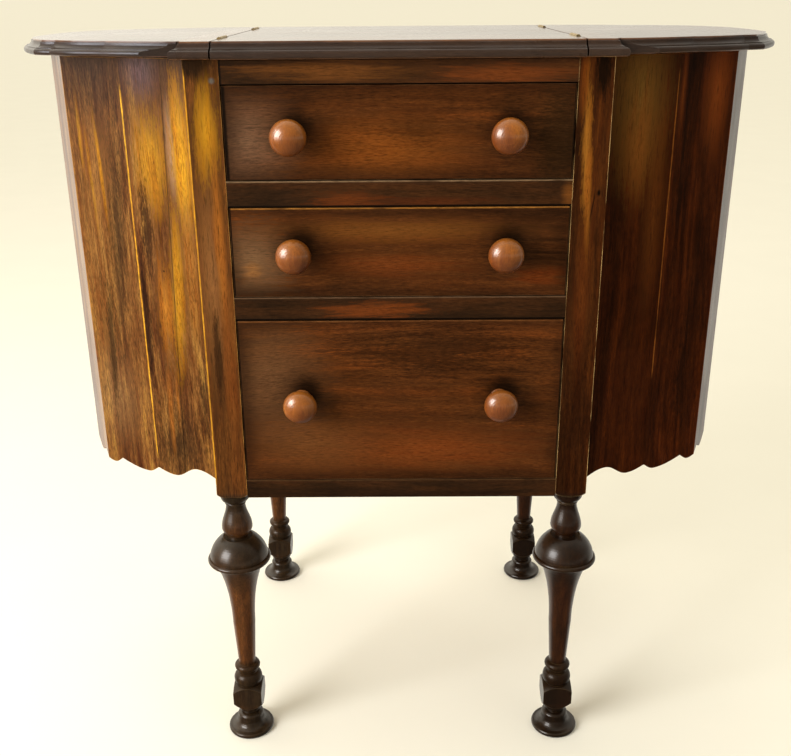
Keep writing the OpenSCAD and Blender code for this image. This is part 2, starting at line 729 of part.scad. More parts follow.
module drawer_box(z, h) {
    w = x_box;
    z0 = z + run_gap;
    top = z + h - side_drop;
    placed() difference() {
        union() {
            for (s = [-1, 1])
                translate([s > 0 ? w - box_t : -w, front_t, z0]) cube([box_t, drawer_l - front_t, top - z0]);
            translate([-w + box_t, drawer_l - box_t, z0 + bottom_rise + bottom_t])
                cube([2 * (w - box_t), box_t, top - back_drop - z0 - bottom_rise - bottom_t]);
        }
        translate([-w + box_t - groove_d, front_t - 1, z0 + bottom_rise])
            cube([2 * (w - box_t + groove_d), drawer_l - front_t + 2, bottom_t]);
    }
}

module drawer_bottom(z) {
    w = x_box - box_t + groove_d;
    placed() translate([-w, front_t - groove_d, z + run_gap + bottom_rise])
        cube([2 * w, drawer_l - front_t + groove_d, bottom_t]);
}

// Knob outline, radius against distance from the drawer face
knob_mid = knob_out - knob_head / 2;
function knob_outline() = concat(
    [[0, -spigot_l], [spigot_r, -spigot_l], [spigot_r, 0]],
    [[knob_base_r - 0.8, 0]],
    arc(knob_base_r - 1.5, 1.5, 1.5, 1.5, -60, 90, 6),
    [for (i = [0 : 6]) let (a = 180 * i / 6)
        [knob_neck_r + 1.3 * (1 + cos(2 * a)) / 2, 3.2 + 5 * i / 6]],
    arc(knob_neck_r + 0.6, 9.3, 1.5, 1.1, -80, 80, 6),
    arc(0, knob_mid, knob_r, knob_head / 2, -62, 90, 18)
);

module knob(side, z) {
    placed() translate([side * knob_x, 0, z]) rotate([90, 0, 0])
        rotate_extrude($fn = 72) polygon(knob_outline());
}

z_knob_1 = z_open_1 + drawer_1_h / 2 + knob_lift_1;
z_knob_2 = z_open_2 + drawer_2_h / 2 + knob_lift_2;
z_knob_3 = z_open_3 + drawer_3_h / 2 + knob_lift_3;

// Carcass
module post_front_left() { color(wood_dark) post_at(-1, false); }
module post_front_right() { color(wood_dark) post_at(1, false); }
module post_rear_left() { color(wood_dark) post_at(-1, true); }
module post_rear_right() { color(wood_dark) post_at(1, true); }
module rail_top() { color(wood) rail_at(z_rail_top, rail_top_h); }
module rail_upper() { color(wood) rail_at(z_rail_upper, rail_upper_h); }
module rail_lower() { color(wood) rail_at(z_rail_lower, rail_lower_h); }
module rail_bottom() { color(wood) rail_at(z_rail, rail_bottom_h); }
module side_left() { color(wood) side_at(-1); }
module side_right() { color(wood) side_at(1); }
module back_panel() {
    color(wood) placed()
        translate([-px, chest_d - back_inset - back_t, z_rail]) cube([2 * px, back_t, z_chest - z_rail]);
}
module top_board() { color(wood) middle_top(); }
module runner_1_left() { color(wood_pale) runner_at(-1, z_open_1); }
module runner_1_right() { color(wood_pale) runner_at(1, z_open_1); }
module runner_2_left() { color(wood_pale) runner_at(-1, z_open_2); }
module runner_2_right() { color(wood_pale) runner_at(1, z_open_2); }
module runner_3_left() { color(wood_pale) runner_at(-1, z_open_3); }
module runner_3_right() { color(wood_pale) runner_at(1, z_open_3); }

// Bins
module bin_left_front() { color(wood_red) bin_staves(-1, 0, 1); }
module bin_left_front_side() { color(wood_red) bin_staves(-1, 2, 2); }
module bin_left_end() { color(wood_red) bin_staves(-1, 3, 3); }
module bin_left_rear_side() { color(wood_red) bin_staves(-1, 4, 4); }
module bin_left_rear() { color(wood_red) bin_staves(-1, 5, 6); }
module bin_left_floor() { color(wood_pale) bin_floor(-1); }
module bin_right_front() { color(wood_red) bin_staves(1, 0, 1); }
module bin_right_front_side() { color(wood_red) bin_staves(1, 2, 2); }
module bin_right_end() { color(wood_red) bin_staves(1, 3, 3); }
module bin_right_rear_side() { color(wood_red) bin_staves(1, 4, 4); }
module bin_right_rear() { color(wood_red) bin_staves(1, 5, 6); }
module bin_right_floor() { color(wood_pale) bin_floor(1); }

// Drawers
module drawer_1_front() { color(wood) drawer_front(z_open_1, drawer_1_h, knob_lift_1); }
module drawer_1_box() { color(wood_pale) drawer_box(z_open_1, drawer_1_h); }
module drawer_1_bottom() { color(wood_pale) drawer_bottom(z_open_1); }
module drawer_1_knob_left() { color(wood_red) knob(-1, z_knob_1); }
module drawer_1_knob_right() { color(wood_red) knob(1, z_knob_1); }
module drawer_2_front() { color(wood) drawer_front(z_open_2, drawer_2_h, knob_lift_2); }
module drawer_2_box() { color(wood_pale) drawer_box(z_open_2, drawer_2_h); }
module drawer_2_bottom() { color(wood_pale) drawer_bottom(z_open_2); }
module drawer_2_knob_left() { color(wood_red) knob(-1, z_knob_2); }
module drawer_2_knob_right() { color(wood_red) knob(1, z_knob_2); }
module drawer_3_front() { color(wood) drawer_front(z_open_3, drawer_3_h, knob_lift_3); }
module drawer_3_box() { color(wood_pale) drawer_box(z_open_3, drawer_3_h); }
module drawer_3_bottom() { color(wood_pale) drawer_bottom(z_open_3); }
module drawer_3_knob_left() { color(wood_red) knob(-1, z_knob_3); }
module drawer_3_knob_right() { color(wood_red) knob(1, z_knob_3); }

// Lids and their hinges
module lid_left_strip() { color(wood) lid_strip(-1); }
module lid_left_board() { color(wood) lid_board(-1); }
module lid_right_strip() { color(wood) lid_strip(1); }
module lid_right_board() { color(wood) lid_board(1); }
module hinge_left_front_fixed() { color(brass) hinge_fixed(-1, hinge_y[0]); }
module hinge_left_front_moving() { color(brass) hinge_moving(-1, hinge_y[0]); }
module hinge_left_rear_fixed() { color(brass) hinge_fixed(-1, hinge_y[1]); }
module hinge_left_rear_moving() { color(brass) hinge_moving(-1, hinge_y[1]); }
module hinge_right_front_fixed() { color(brass) hinge_fixed(1, hinge_y[0]); }
module hinge_right_front_moving() { color(brass) hinge_moving(1, hinge_y[0]); }
module hinge_right_rear_fixed() { color(brass) hinge_fixed(1, hinge_y[1]); }
module hinge_right_rear_moving() { color(brass) hinge_moving(1, hinge_y[1]); }

post_front_left();
post_front_right();
post_rear_left();
post_rear_right();
rail_top();
rail_upper();
rail_lower();
rail_bottom();
side_left();
side_right();
back_panel();
top_board();
runner_1_left();
runner_1_right();
runner_2_left();
runner_2_right();
runner_3_left();
runner_3_right();
bin_left_front();
bin_left_front_side();
bin_left_end();
bin_left_rear_side();
bin_left_rear();
bin_left_floor();
bin_right_front();
bin_right_front_side();
bin_right_end();
bin_right_rear_side();
bin_right_rear();
bin_right_floor();
drawer_1_front();
drawer_1_box();
drawer_1_bottom();
drawer_1_knob_left();
drawer_1_knob_right();
drawer_2_front();
drawer_2_box();
drawer_2_bottom();
drawer_2_knob_left();
drawer_2_knob_right();
drawer_3_front();
drawer_3_box();
drawer_3_bottom();
drawer_3_knob_left();
drawer_3_knob_right();
lid_left_strip();
lid_left_board();
lid_right_strip();
lid_right_board();
hinge_left_front_fixed();
hinge_left_front_moving();
hinge_left_rear_fixed();
hinge_left_rear_moving();
hinge_right_front_fixed();
hinge_right_front_moving();
hinge_right_rear_fixed();
hinge_right_rear_moving();
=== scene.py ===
import math
import random

import bpy
from mathutils import Matrix, Vector


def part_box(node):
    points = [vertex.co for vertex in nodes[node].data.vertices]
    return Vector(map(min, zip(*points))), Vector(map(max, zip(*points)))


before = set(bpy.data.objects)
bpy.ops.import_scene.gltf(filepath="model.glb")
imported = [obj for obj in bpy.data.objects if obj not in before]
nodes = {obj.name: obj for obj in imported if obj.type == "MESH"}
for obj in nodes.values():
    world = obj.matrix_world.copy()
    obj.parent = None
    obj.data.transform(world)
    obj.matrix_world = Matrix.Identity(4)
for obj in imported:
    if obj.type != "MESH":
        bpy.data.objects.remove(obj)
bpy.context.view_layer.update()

# Heights and depths taken from the frame, in metres

TOP_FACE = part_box("top_board")[1][2]
TOP_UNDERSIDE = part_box("rail_top")[1][2]
LEG_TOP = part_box("rail_bottom")[0][2]
FRONT_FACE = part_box("rail_bottom")[0][1]

# Square block in the turning of each leg, its height above the floor

BLOCK_LOW, BLOCK_HIGH = 0.060, 0.088

# Camera

PHOTO_W = 791
FOCAL_PX = 994.11
SENSOR_MM = 36.0
CLIP_NEAR, CLIP_FAR = 0.01, 400.0
CAM_POS = Vector((0.0007, -1.0598, 0.7760))
PITCH, YAW, ROLL = 0.37197, 0.00608, 0.00798


def camera_matrix():
    """World matrix of the camera, from its pitch below the horizon, yaw and roll in radians."""
    cp, sp = math.cos(PITCH), math.sin(PITCH)
    cy, sy = math.cos(YAW), math.sin(YAW)
    cr, sr = math.cos(ROLL), math.sin(ROLL)
    base = Matrix(((1, 0, 0), (0, 0, -1), (0, 1, 0)))
    turn = Matrix(((cy, sy, 0), (-sy, cy, 0), (0, 0, 1)))
    tilt = Matrix(((1, 0, 0), (0, cp, -sp), (0, sp, cp)))
    spin = Matrix(((cr, sr, 0), (-sr, cr, 0), (0, 0, 1)))
    rows = spin @ tilt @ base @ turn
    world = Matrix((rows[0], -rows[1], -rows[2])).transposed().to_4x4()
    world.translation = CAM_POS
    return world


cam_data = bpy.data.cameras.new("camera")
cam_data.sensor_width = SENSOR_MM
cam_data.lens = FOCAL_PX * SENSOR_MM / PHOTO_W
cam_data.clip_start, cam_data.clip_end = CLIP_NEAR, CLIP_FAR
camera = bpy.data.objects.new("camera", cam_data)
camera.matrix_world = camera_matrix()
bpy.context.scene.collection.objects.link(camera)
bpy.context.scene.camera = camera
bpy.context.scene.view_settings.view_transform = "Standard"


# Building the nodes of materials

class Tree:
    """Short calls for building the nodes of a material or of the world."""

    def __init__(self, nt):
        self.nt = nt

    def put(self, socket, value):
        """Link a socket to value, or set value on it where it is a number or a colour."""
        if isinstance(value, bpy.types.NodeSocket):
            self.nt.links.new(value, socket)
        else:
            socket.default_value = value

    def node(self, kind, inputs=None, **props):
        n = self.nt.nodes.new(kind)
        for k, v in props.items():
            setattr(n, k, v)
        for k, v in (inputs or {}).items():
            self.put(n.inputs[k], v)
        return n

    def math(self, op, a, b=0.0, clamp=False):
        return self.node("ShaderNodeMath", {0: a, 1: b}, operation=op, use_clamp=clamp).outputs[0]

    def less(self, a, b):
        return self.math("SUBTRACT", a, b)

    def times(self, *values):
        out = values[0]
        for v in values[1:]:
            out = self.math("MULTIPLY", out, v)
        return out

    def plus(self, *values, clamp=False):
        out = values[0]
        for v in values[1:]:
            out = self.math("ADD", out, v, clamp)
        return out

    def noise(self, vector, scale, detail=2.0, rough=0.5):
        inputs = {"Vector": vector, "Scale": scale, "Detail": detail, "Roughness": rough}
        return self.node("ShaderNodeTexNoise", inputs).outputs["Fac"]

    def step(self, value, lo, hi, to_lo=0.0, to_hi=1.0):
        """Value carried from the range lo..hi to the range to_lo..to_hi, and held at its ends."""
        inputs = {"Value": value, "From Min": lo, "From Max": hi, "To Min": to_lo, "To Max": to_hi}
        return self.node("ShaderNodeMapRange", inputs, clamp=True).outputs[0]

    def span(self, value, lo, hi, soft):
        """1 where value lies from lo to hi, falling to 0 over soft beyond each."""
        return self.times(self.step(value, lo - soft, lo), self.step(value, hi, hi + soft, 1.0, 0.0))

    def ramp(self, value, stops):
        r = self.node("ShaderNodeValToRGB", {"Fac": value})
        e = r.color_ramp.elements
        while len(e) < len(stops):
            e.new(0.5)
        for el, (pos, col) in zip(e, stops):
            el.position = pos
            el.color = (*col, 1.0)
        return r.outputs[0]

    def mix(self, fac, a, b, mode="MIX"):
        """Colour a, turned into b by fac."""
        n = self.node("ShaderNodeMix", data_type="RGBA", blend_type=mode)
        for i, v in ((0, fac), (6, a), (7, b)):
            if isinstance(v, tuple) and len(v) == 3:
                v = (*v, 1.0)
            self.put(n.inputs[i], v)
        return n.outputs[2]


class Material(Tree):
    """A new material with one shader."""

    def __init__(self, name):
        self.mat = bpy.data.materials.new(name)
        self.mat.use_nodes = True
        super().__init__(self.mat.node_tree)
        self.nt.nodes.clear()
        self.bsdf = self.node("ShaderNodeBsdfPrincipled")
        self.node("ShaderNodeOutputMaterial", {"Surface": self.bsdf.outputs[0]})

    def bump(self, height, strength, distance):
        n = self.node("ShaderNodeBump", {"Height": height, "Strength": strength, "Distance": distance})
        self.put(self.bsdf.inputs["Normal"], n.outputs[0])

    def shader(self, **values):
        for k, v in values.items():
            self.put(self.bsdf.inputs[k.replace("_", " ")], v)


def stretched(t, vector, along):
    """Coordinates drawn out along their third part, so that what is read from them runs with the grain."""
    return t.node("ShaderNodeMapping", {"Vector": vector, "Scale": (1.0, 1.0, along)}).outputs[0]


class Grain:
    """One piece's wood: its box, the place on it, and noises that run along its grain.

    x, y and z are places in the shared frame, right and up the distances from the low left corner of the
    piece's box, seen from the front. All are in metres.
    """

    # How far the pattern is moved at most, by the piece's name, so that no two pieces are alike
    SHIFT = 3.0

    def __init__(self, t, n, axis, ribbon_scale):
        rng = random.Random(sum(ord(c) * (i + 3) for i, c in enumerate(n)))
        self.lo, self.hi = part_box(n)
        self.middle = [(a + b) / 2 for a, b in zip(self.lo, self.hi)]
        self.place = t.node("ShaderNodeTexCoord").outputs["Object"]
        parts = t.node("ShaderNodeSeparateXYZ", {0: self.place}).outputs
        self.x, self.y, self.z = parts[0], parts[1], parts[2]
        self.right, self.up = t.less(self.x, self.lo[0]), t.less(self.z, self.lo[2])

        order = {"X": (1, 2, 0), "Y": (0, 2, 1), "Z": (0, 1, 2)}[axis]
        turned = t.node("ShaderNodeCombineXYZ", {i: parts[k] for i, k in enumerate(order)}).outputs[0]
        start = [rng.uniform(-self.SHIFT, self.SHIFT) for _ in range(3)]
        self.straight = t.node("ShaderNodeMapping", {"Vector": turned, "Location": start}).outputs[0]
        bend = t.times(t.noise(stretched(t, self.straight, 0.35), scale=5.0), 0.045)
        shift = t.node("ShaderNodeCombineXYZ", {0: bend, 1: bend, 2: 0.0}).outputs[0]
        self.wavy = t.node("ShaderNodeVectorMath", {0: self.straight, 1: shift}, operation="ADD").outputs[0]

        self.ribbon = t.noise(stretched(t, self.wavy, 0.04), scale=ribbon_scale, detail=3.0, rough=0.55)
        self.streak = t.noise(stretched(t, self.wavy, 0.06), scale=240.0, detail=3.0, rough=0.65)
        self.fibre = t.noise(stretched(t, self.wavy, 0.14), scale=1150.0, rough=0.7)
        self.mottle = t.noise(stretched(t, self.straight, 0.45), scale=75.0, rough=0.55)
        self.cloud = t.noise(stretched(t, self.straight, 0.4), scale=7.0, detail=3.0, rough=0.55)
        self.smear = t.noise(stretched(t, self.straight, 0.5), scale=22.0, detail=3.0, rough=0.6)
        short = t.noise(stretched(t, self.straight, 0.055), scale=1300.0, detail=1.0)
        self.pore = t.step(short, 0.58, 0.70)


# How much streaks and mottling add to the figure, and how much of a streak each colour part takes

STREAK_SHARE, MOTTLE_SHARE = 0.22, 0.14
STREAK_DEPTHS = (0.70, 1.10, 1.20)

# Brightness of a pore against the darkest tone, and the finish's unevenness

PORE_TONE = 0.3
SMOOTHER, ROUGHER = 0.06, 0.10
GRAIN_BUMP, GRAIN_DEPTH = 0.22, 0.00025


def figure(t, g, tones, ribbon, shade, level):
    """The wood's own pattern, read as a tone from dark to light."""
    tone = t.plus(t.times(t.step(g.ribbon, 0.34, 0.66), ribbon),
                  t.times(t.step(g.streak, 0.30, 0.70), STREAK_SHARE),
                  t.times(t.step(g.mottle, 0.30, 0.70), MOTTLE_SHARE),
                  t.times(t.less(g.cloud, 0.5), shade * 2.0),
                  0.5 - (ribbon + STREAK_SHARE + MOTTLE_SHARE) / 2 + level, clamp=True)
    stops = [i / (len(tones) - 1) for i in range(len(tones))]
    return t.ramp(tone, list(zip(stops, tones)))


def fibres(t, g, colour, cast, grit, streaky):
    """Break the colour up by fibres, and by streaks that redden as they darken, and cast it as a whole."""
    fine = t.step(g.fibre, 0.30, 0.70, 1.0 - grit * 0.75, 1.0 + grit * 0.55)
    parts = {}
    for i, (share, c) in enumerate(zip(STREAK_DEPTHS, cast)):
        deep = streaky * share
        parts[i] = t.times(fine, t.step(g.streak, 0.34, 0.66, 1.0 - deep, 1.0 + deep * 0.9), c)
    return t.mix(1.0, colour, t.node("ShaderNodeCombineXYZ", parts).outputs[0], "MULTIPLY")


def worn_arris(t, g, width):
    """1 along the sharp edges of a piece, in patches."""
    soft = t.node("ShaderNodeBevel", {"Radius": width}, samples=4).outputs[0]
    flat = t.node("ShaderNodeNewGeometry").outputs["Normal"]
    dot = t.node("ShaderNodeVectorMath", {0: soft, 1: flat}, operation="DOT_PRODUCT").outputs["Value"]
    edge = t.step(t.less(1.0, dot), 0.004, 0.035)
    patchy = t.step(t.noise(g.place, scale=30.0, detail=3.0, rough=0.6), 0.38, 0.60)
    return t.times(edge, patchy)


def wood(n, axis, tones, ribbon=0.4, ribbon_scale=55.0, shade=0.5, level=0.0, rough=0.38,
         coat=0.04, coat_rough=0.22, coat_where=None, gloss=0.12, sheen_tone=(1.0, 0.72, 0.45),
         wear=0.7, wear_tone=(0.24, 0.10, 0.026), wear_width=0.0008, wear_where=None,
         pores=0.45, grit=0.5, streaky=0.0, cast=(1.0, 1.0, 1.0), tint=None):
    """Polished mahogany: ribbon stripe, streaks, fibres and short dark pores, worn arrises, a thin finish."""
    t = Material("wood_" + n)
    g = Grain(t, n, axis, ribbon_scale)
    colour = figure(t, g, tones, ribbon, shade, level)
    if tint:
        colour = tint(t, colour, g)
    colour = fibres(t, g, colour, cast, grit, streaky)
    colour = t.mix(t.times(g.pore, pores), colour, tuple(c * PORE_TONE for c in tones[0]))
    if wear:
        worn = t.times(worn_arris(t, g, wear_width), wear)
        if wear_where:
            worn = t.times(worn, wear_where(t, g))
        colour = t.mix(worn, colour, wear_tone)
    t.shader(Base_Color=colour, Roughness=t.step(g.smear, 0.3, 0.7, rough - SMOOTHER, rough + ROUGHER),
             Coat_Weight=coat_where(t, g) if coat_where else coat, Coat_Roughness=coat_rough,
             Specular_IOR_Level=gloss, Specular_Tint=(*sheen_tone, 1.0))
    t.bump(t.less(t.times(g.fibre, 0.35), g.pore), GRAIN_BUMP, GRAIN_DEPTH)
    return t.mat


# Tones of old polish and wear, and of painted light and shade, dark to light

BLACK = (0.0040, 0.0022, 0.0014)
DARK = (0.0110, 0.0046, 0.0022)
PITCH_BLACK = (0.0120, 0.0090, 0.0064)
COAL = (0.0150, 0.0080, 0.0040)
CLARET = (0.0200, 0.0044, 0.0007)
SMOKE = (0.0220, 0.0120, 0.0050)
RECESS_SHADE = (0.0260, 0.0100, 0.0040)
OXBLOOD = (0.0300, 0.0075, 0.0012)
OLIVE = (0.0300, 0.0170, 0.0070)
DUSK = (0.0320, 0.0120, 0.0040)
UNDER_LID_SHADE = (0.0330, 0.0135, 0.0078)
MAROON = (0.0400, 0.0090, 0.0022)
PEAT = (0.0430, 0.0200, 0.0080)
UMBER = (0.0480, 0.0180, 0.0060)
CHERRY = (0.0500, 0.0110, 0.0030)
PEWTER = (0.0600, 0.0500, 0.0550)
BROWN = (0.0750, 0.0260, 0.0075)
PLUM = (0.0840, 0.0520, 0.0740)
GARNET = (0.0850, 0.0200, 0.0050)
NUT = (0.0900, 0.0450, 0.0180)
SIENNA = (0.0950, 0.0290, 0.0050)
MOSS = (0.1120, 0.0560, 0.0130)
FAWN = (0.1170, 0.0660, 0.0345)
BRICK = (0.1200, 0.0285, 0.0055)
RED = (0.1250, 0.0360, 0.0080)
LEFT_SHEEN_GREY = (0.1250, 0.0800, 0.0560)
TAN = (0.1360, 0.0590, 0.0210)
RUST = (0.1500, 0.0430, 0.0100)
CHESTNUT = (0.1500, 0.0520, 0.0110)
LEFT_SHEEN_PALE = (0.1500, 0.0980, 0.0580)
RUSSET = (0.1550, 0.0365, 0.0062)
SADDLE = (0.1600, 0.0680, 0.0150)
EMBER = (0.1700, 0.0420, 0.0080)
COPPER = (0.1720, 0.0580, 0.0105)
HAZEL = (0.1700, 0.0720, 0.0280)
BISCUIT = (0.2000, 0.1020, 0.0440)
DRIFT = (0.2000, 0.1300, 0.0700)
TAWNY = (0.2100, 0.0920, 0.0240)
ORANGE = (0.2300, 0.0760, 0.0120)
HONEY = (0.2500, 0.1250, 0.0420)
CARAMEL = (0.2700, 0.1150, 0.0220)
LILAC = (0.2800, 0.1600, 0.1050)
OLD_GOLD = (0.3000, 0.1400, 0.0090)
STRAW = (0.3000, 0.1500, 0.0340)
AMBER = (0.3300, 0.1200, 0.0130)
GOLD = (0.3400, 0.1520, 0.0085)
PUMPKIN = (0.4200, 0.1500, 0.0160)
FLAME = (0.4600, 0.2100, 0.0360)
PALE_GOLD = (0.4700, 0.2250, 0.0100)
BRIGHT_GOLD = (0.4800, 0.2300, 0.0200)
BLAZE = (0.5400, 0.2700, 0.0480)
SUN_GOLD = (0.6000, 0.3000, 0.0240)

# Tones of the woods, dark to light

FRONT_WOOD = (DARK, UMBER, BROWN, RED)
LEFT_BIN_WOOD = ((0.0160, 0.0060, 0.0030), (0.0840, 0.0270, 0.0085),
                 (0.1700, 0.0700, 0.0190), (0.3300, 0.1600, 0.0320))
RIGHT_BIN_WOOD = ((0.0080, 0.0024, 0.0008), (0.0260, 0.0056, 0.0010),
                  (0.0580, 0.0115, 0.0018), (0.1100, 0.0240, 0.0034))
POST_WOOD = (DARK, UMBER, (0.0980, 0.0320, 0.0080), (0.1800, 0.0600, 0.0120))
RAIL_WOOD = ((0.0100, 0.0050, 0.0028), (0.0260, 0.0110, 0.0042),
             (0.0580, 0.0200, 0.0058), (0.1100, 0.0330, 0.0070))
TOP_WOOD = ((0.0400, 0.0160, 0.0080), (0.0900, 0.0360, 0.0160),
            (0.1500, 0.0620, 0.0260), (0.2100, 0.0920, 0.0380))
KNOB_WOOD = ((0.0720, 0.0150, 0.0034), (0.1450, 0.0330, 0.0052),
             (0.2400, 0.0660, 0.0072), (0.3600, 0.1250, 0.0110))
INNER_WOOD = ((0.1600, 0.0850, 0.0360), (0.3000, 0.1650, 0.0750),
              (0.4200, 0.2500, 0.1200), (0.5000, 0.3200, 0.1700))


# Marks laid over the figure. Each returns a function that changes the colour of one piece.
# A mark's place is counted in metres from the low left corner of its piece.

# How strongly streaks and fibres fray the border of a patch, and where that border ends

STREAK_FRAY, FIBRE_FRAY = 2.4, 2.0
BORDER = 0.95


def all_of(*tints):
    """Several marks laid one over the other, in their order."""
    def tint(t, colour, g):
        for f in tints:
            colour = f(t, colour, g)
        return colour
    return tint


def patch(x, z, wide, tall, tone, strength=1.0, slope=0.0, rag=0.5, soft=0.55):
    """Patch of one tone about (x, z), with half sizes and a lean, its border drawn out along the grain."""
    def tint(t, colour, g):
        rise = t.less(g.up, z)
        side = t.math("DIVIDE", t.less(t.less(g.right, x), t.times(rise, slope)), wide)
        up = t.math("DIVIDE", rise, tall)
        far = t.math("SQRT", t.plus(t.times(side, side), t.times(up, up)))
        ragged = t.plus(far, t.times(t.less(g.streak, 0.5), rag * STREAK_FRAY),
                        t.times(t.less(g.fibre, 0.5), rag * FIBRE_FRAY))
        return t.mix(t.times(t.step(ragged, BORDER - soft, BORDER, 1.0, 0.0), strength), colour, tone)
    return tint


def seam(x0, z0, x1, z1, width, tone, strength=1.0, broken=0.4):
    """Thin upright line on a face, from (x0, z0) to (x1, z1) above it, in places worn away."""
    def tint(t, colour, g):
        off = t.math("ABSOLUTE", t.less(g.right, t.step(g.up, z0, z1, x0, x1)))
        mask = t.times(t.step(off, width * 0.35, width * 0.65, 1.0, 0.0), t.span(g.up, z0, z1, 0.01),
                       t.step(g.mottle, 0.5 - broken / 2, 0.52, 1.0 - broken, 1.0), strength)
        return t.mix(mask, colour, tone)
    return tint


def shaded_top(reach, tone, depth):
    """Painted shade just below the lids."""
    def tint(t, colour, g):
        height = t.plus(g.z, t.times(t.less(g.streak, 0.5), 0.05))
        return t.mix(t.step(height, TOP_UNDERSIDE - reach, TOP_UNDERSIDE, 0.0, depth), colour, tone)
    return tint


def edge_darkening(reach, depth):
    """Darker towards the edges of a drawer front."""
    def tint(t, colour, g):
        x = t.math("MINIMUM", t.less(g.x, g.lo[0]), t.less(g.hi[0], g.x))
        z = t.math("MINIMUM", t.less(g.z, g.lo[2]), t.less(g.hi[2], g.z))
        ragged = t.plus(t.math("MINIMUM", x, z), t.times(t.less(g.cloud, 0.5), 0.04))
        return t.mix(t.step(ragged, 0.0, reach, depth, 0.0), colour, DARK)
    return tint


def knob_shadows(drawer):
    """Painted shadow round each knob of a drawer, cast a little up and to the right."""
    wide, narrow, aside = 0.036, 0.019, 0.005
    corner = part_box(drawer + "_front")[0]
    tints = []
    for side in ("left", "right"):
        lo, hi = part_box(drawer + "_knob_" + side)
        x = (lo[0] + hi[0]) / 2 - corner[0] + aside
        z = (lo[2] + hi[2]) / 2 - corner[2]
        tints.append(patch(x, z + 0.003, wide, wide, COAL, 0.72, rag=0.12, soft=0.75))
        tints.append(patch(x, z + 0.008, narrow, narrow - 0.001, BLACK, 0.75, rag=0.1, soft=0.6))
    return all_of(*tints)


def top_arris_wear_and_shade(tone, strength=0.9):
    """Line along the upper arris of a front piece: worn wood on most pieces, painted shadow of the top's
    overhang on the top rail.
    """
    def tint(t, colour, g):
        mask = t.times(t.step(g.z, g.hi[2] - 0.0016, g.hi[2] - 0.0008),
                       t.step(g.mottle, 0.30, 0.45, 0.3, 1.0), strength)
        return t.mix(mask, colour, tone)
    return tint


def joint_shade(left=0.0, right=0.0, low=0.0):
    """Painted shade packed into the joints along the edges of a front piece, so each joint reads as a black
    line.
    """
    def tint(t, colour, g):
        edges = ((t.less(g.x, g.lo[0]), left), (t.less(g.hi[0], g.x), right), (t.less(g.z, g.lo[2]), low))
        for away, width in edges:
            if width:
                colour = t.mix(t.step(away, width * 0.7, width * 1.1, 0.95, 0.0), colour, BLACK)
        return colour
    return tint


def recess(t, colour, g):
    """Painted shade on the faces behind the front plane."""
    behind = t.step(g.y, FRONT_FACE + 0.0012, FRONT_FACE + 0.0030, 0.0, 0.85)
    return t.mix(behind, colour, RECESS_SHADE)


def leg_tone(t, colour, g):
    """Turned parts are nearly black where the polish is thick, and reddish on the shaft and the pear."""
    foot_and_knop = [(0.000, 0.95), (0.028, 0.95), (0.036, 0.80), (0.040, 0.90), (0.054, 0.90)]
    block_and_rings = [(BLOCK_LOW + 0.001, 0.95), (BLOCK_HIGH - 0.001, 0.85)]
    shaft = [(0.094, 0.25), (0.180, 0.25), (0.214, 0.80)]
    bowl_and_pear = [(0.246, 0.95), (0.250, 0.62), (0.258, 0.50), (0.268, 0.74), (0.284, 0.90)]
    post = [(0.297, 0.95), (0.303, 0.20), (0.330, 0.00)]
    marks = foot_and_knop + block_and_rings + shaft + bowl_and_pear + post
    reach = marks[-1][0]
    fac = t.ramp(t.math("DIVIDE", g.z, reach), [(z / reach, (f, f, f)) for z, f in marks])
    fac = t.times(fac, t.step(g.cloud, 0.2, 0.6, 0.75, 1.0))
    return t.mix(fac, colour, PITCH_BLACK)


def moulding_dark(t, colour, g):
    """The moulded edge is darker than the flat of the top and than its underside."""
    edge = t.times(t.step(g.z, TOP_FACE - 0.0020, TOP_FACE - 0.0006, 1.0, 0.0),
                   t.step(g.z, g.lo[2] + 0.0002, g.lo[2] + 0.0008))
    return t.mix(t.times(edge, 0.85), colour, PITCH_BLACK)


def knob_wear_and_shade(t, colour, g):
    """A knob is worn orange above, with painted shade on its lower right."""
    # Painted shade, darkest at the lower right
    fall = t.less(g.z, t.times(t.less(g.x, g.middle[0]), 0.6))
    low = t.step(fall, g.lo[2] - 0.001, g.middle[2] + 0.005, 0.85, 0.0)
    colour = t.mix(low, colour, CHERRY)
    high = t.step(t.plus(g.z, t.times(g.x, 0.5)),
                  g.middle[2] + g.lo[0] * 0.5 + 0.008, g.hi[2] + g.hi[0] * 0.5, 0.0, 0.45)
    return t.mix(high, colour, PUMPKIN)


# The marks of each piece, in the order in which they are laid

